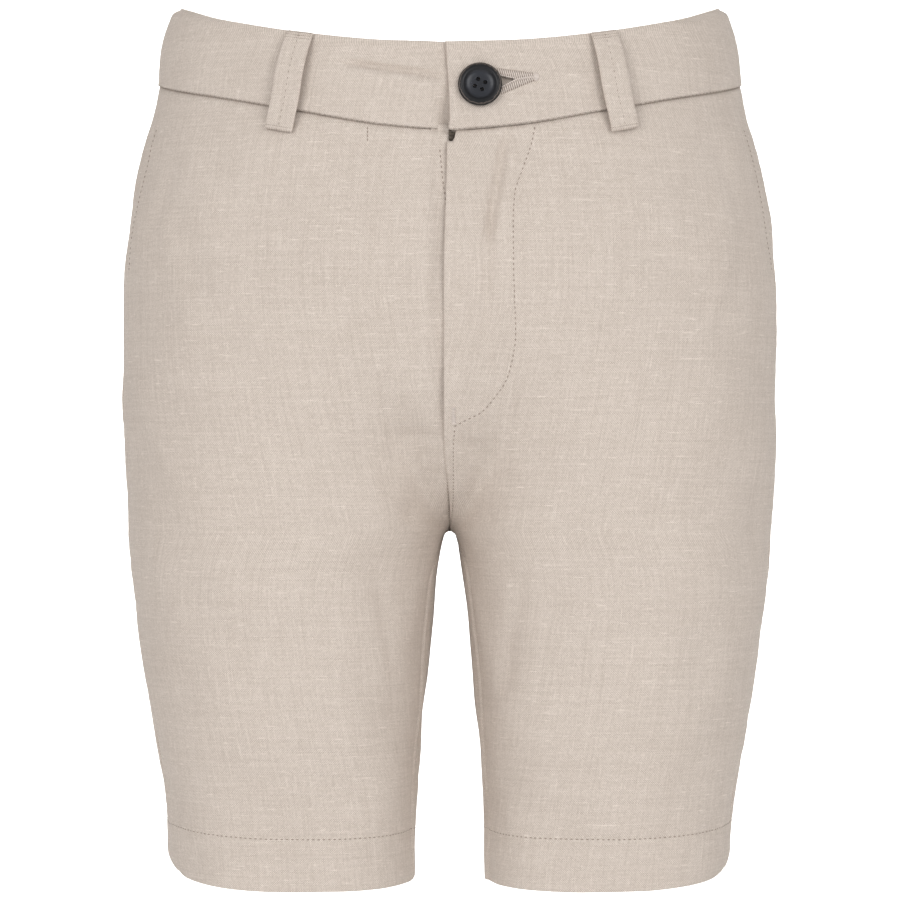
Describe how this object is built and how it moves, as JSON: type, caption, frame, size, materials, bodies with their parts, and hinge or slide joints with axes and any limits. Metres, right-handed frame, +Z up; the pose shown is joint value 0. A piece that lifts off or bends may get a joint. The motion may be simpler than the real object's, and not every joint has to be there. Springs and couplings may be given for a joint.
{
  "type": "bermuda shorts, filled out as when worn, with no wearer",
  "caption": "Child's plain linen bermuda shorts with belt loops, buttoned waistband, zip fly and side pockets, held open in their worn shape.",
  "frame": {"origin": "middle of the waist ring, at the height of the waist seam at the sides", "axes": "+Z up the body, -Y to the wearer's front, +X to the wearer's left"},
  "size_m": [0.2796, 0.2029, 0.3736],
  "materials": {
    "linen": "matte plain-weave linen with slubs",
    "pocketing": "matte thin cotton",
    "zip_tape": "matte woven tape",
    "zip_metal": "dark antique",
    "horn": "polished near-black"
  },
  "bodies": {
    "root": {"front_left": "linen", "front_right": "linen", "back_left": "linen", "back_right": "linen", "waistband_left": "linen", "waistband_right": "linen", "belt_loop_front_left": "linen", "belt_loop_front_right": "linen", "belt_loop_back_left": "linen", "belt_loop_back_right": "linen", "belt_loop_back_centre": "linen", "pocket_bag_left": "pocketing", "pocket_bag_right": "pocketing", "zip_tape": "zip_tape", "zip_slider": "zip_metal", "button": "horn"}
  },
  "joints": []
}
